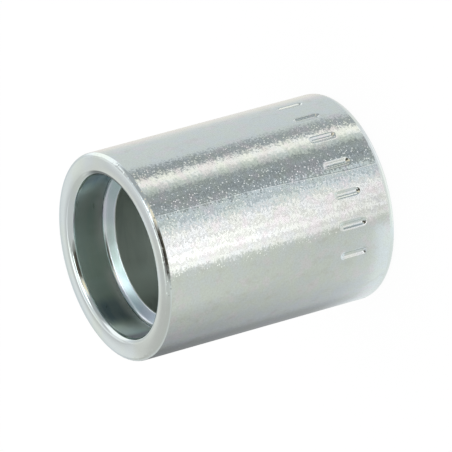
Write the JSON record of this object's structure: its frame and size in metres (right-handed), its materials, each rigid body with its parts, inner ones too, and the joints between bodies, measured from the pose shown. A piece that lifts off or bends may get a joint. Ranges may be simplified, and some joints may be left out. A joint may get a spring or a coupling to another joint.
{
  "type": "crimp hose ferrule",
  "caption": "Plain round steel crimp ferrule with a stepped bore for a hydraulic hose end, inner grip grooves and a lip that locks on the fitting's stem; dies squeeze its outside.",
  "frame": {"origin": "centre of the flat fitting end, on the sleeve's axis", "axes": "+Z along the sleeve's axis, from the fitting end that it stands on to the open hose end"},
  "size_m": [0.017, 0.017, 0.0213],
  "materials": {
    "zinc_plated_steel": "bright zinc plate with a clear passivate, satin grain outside, smooth turned ends and bore"
  },
  "bodies": {
    "root": {"ferrule_sleeve": "zinc_plated_steel"}
  },
  "joints": []
}
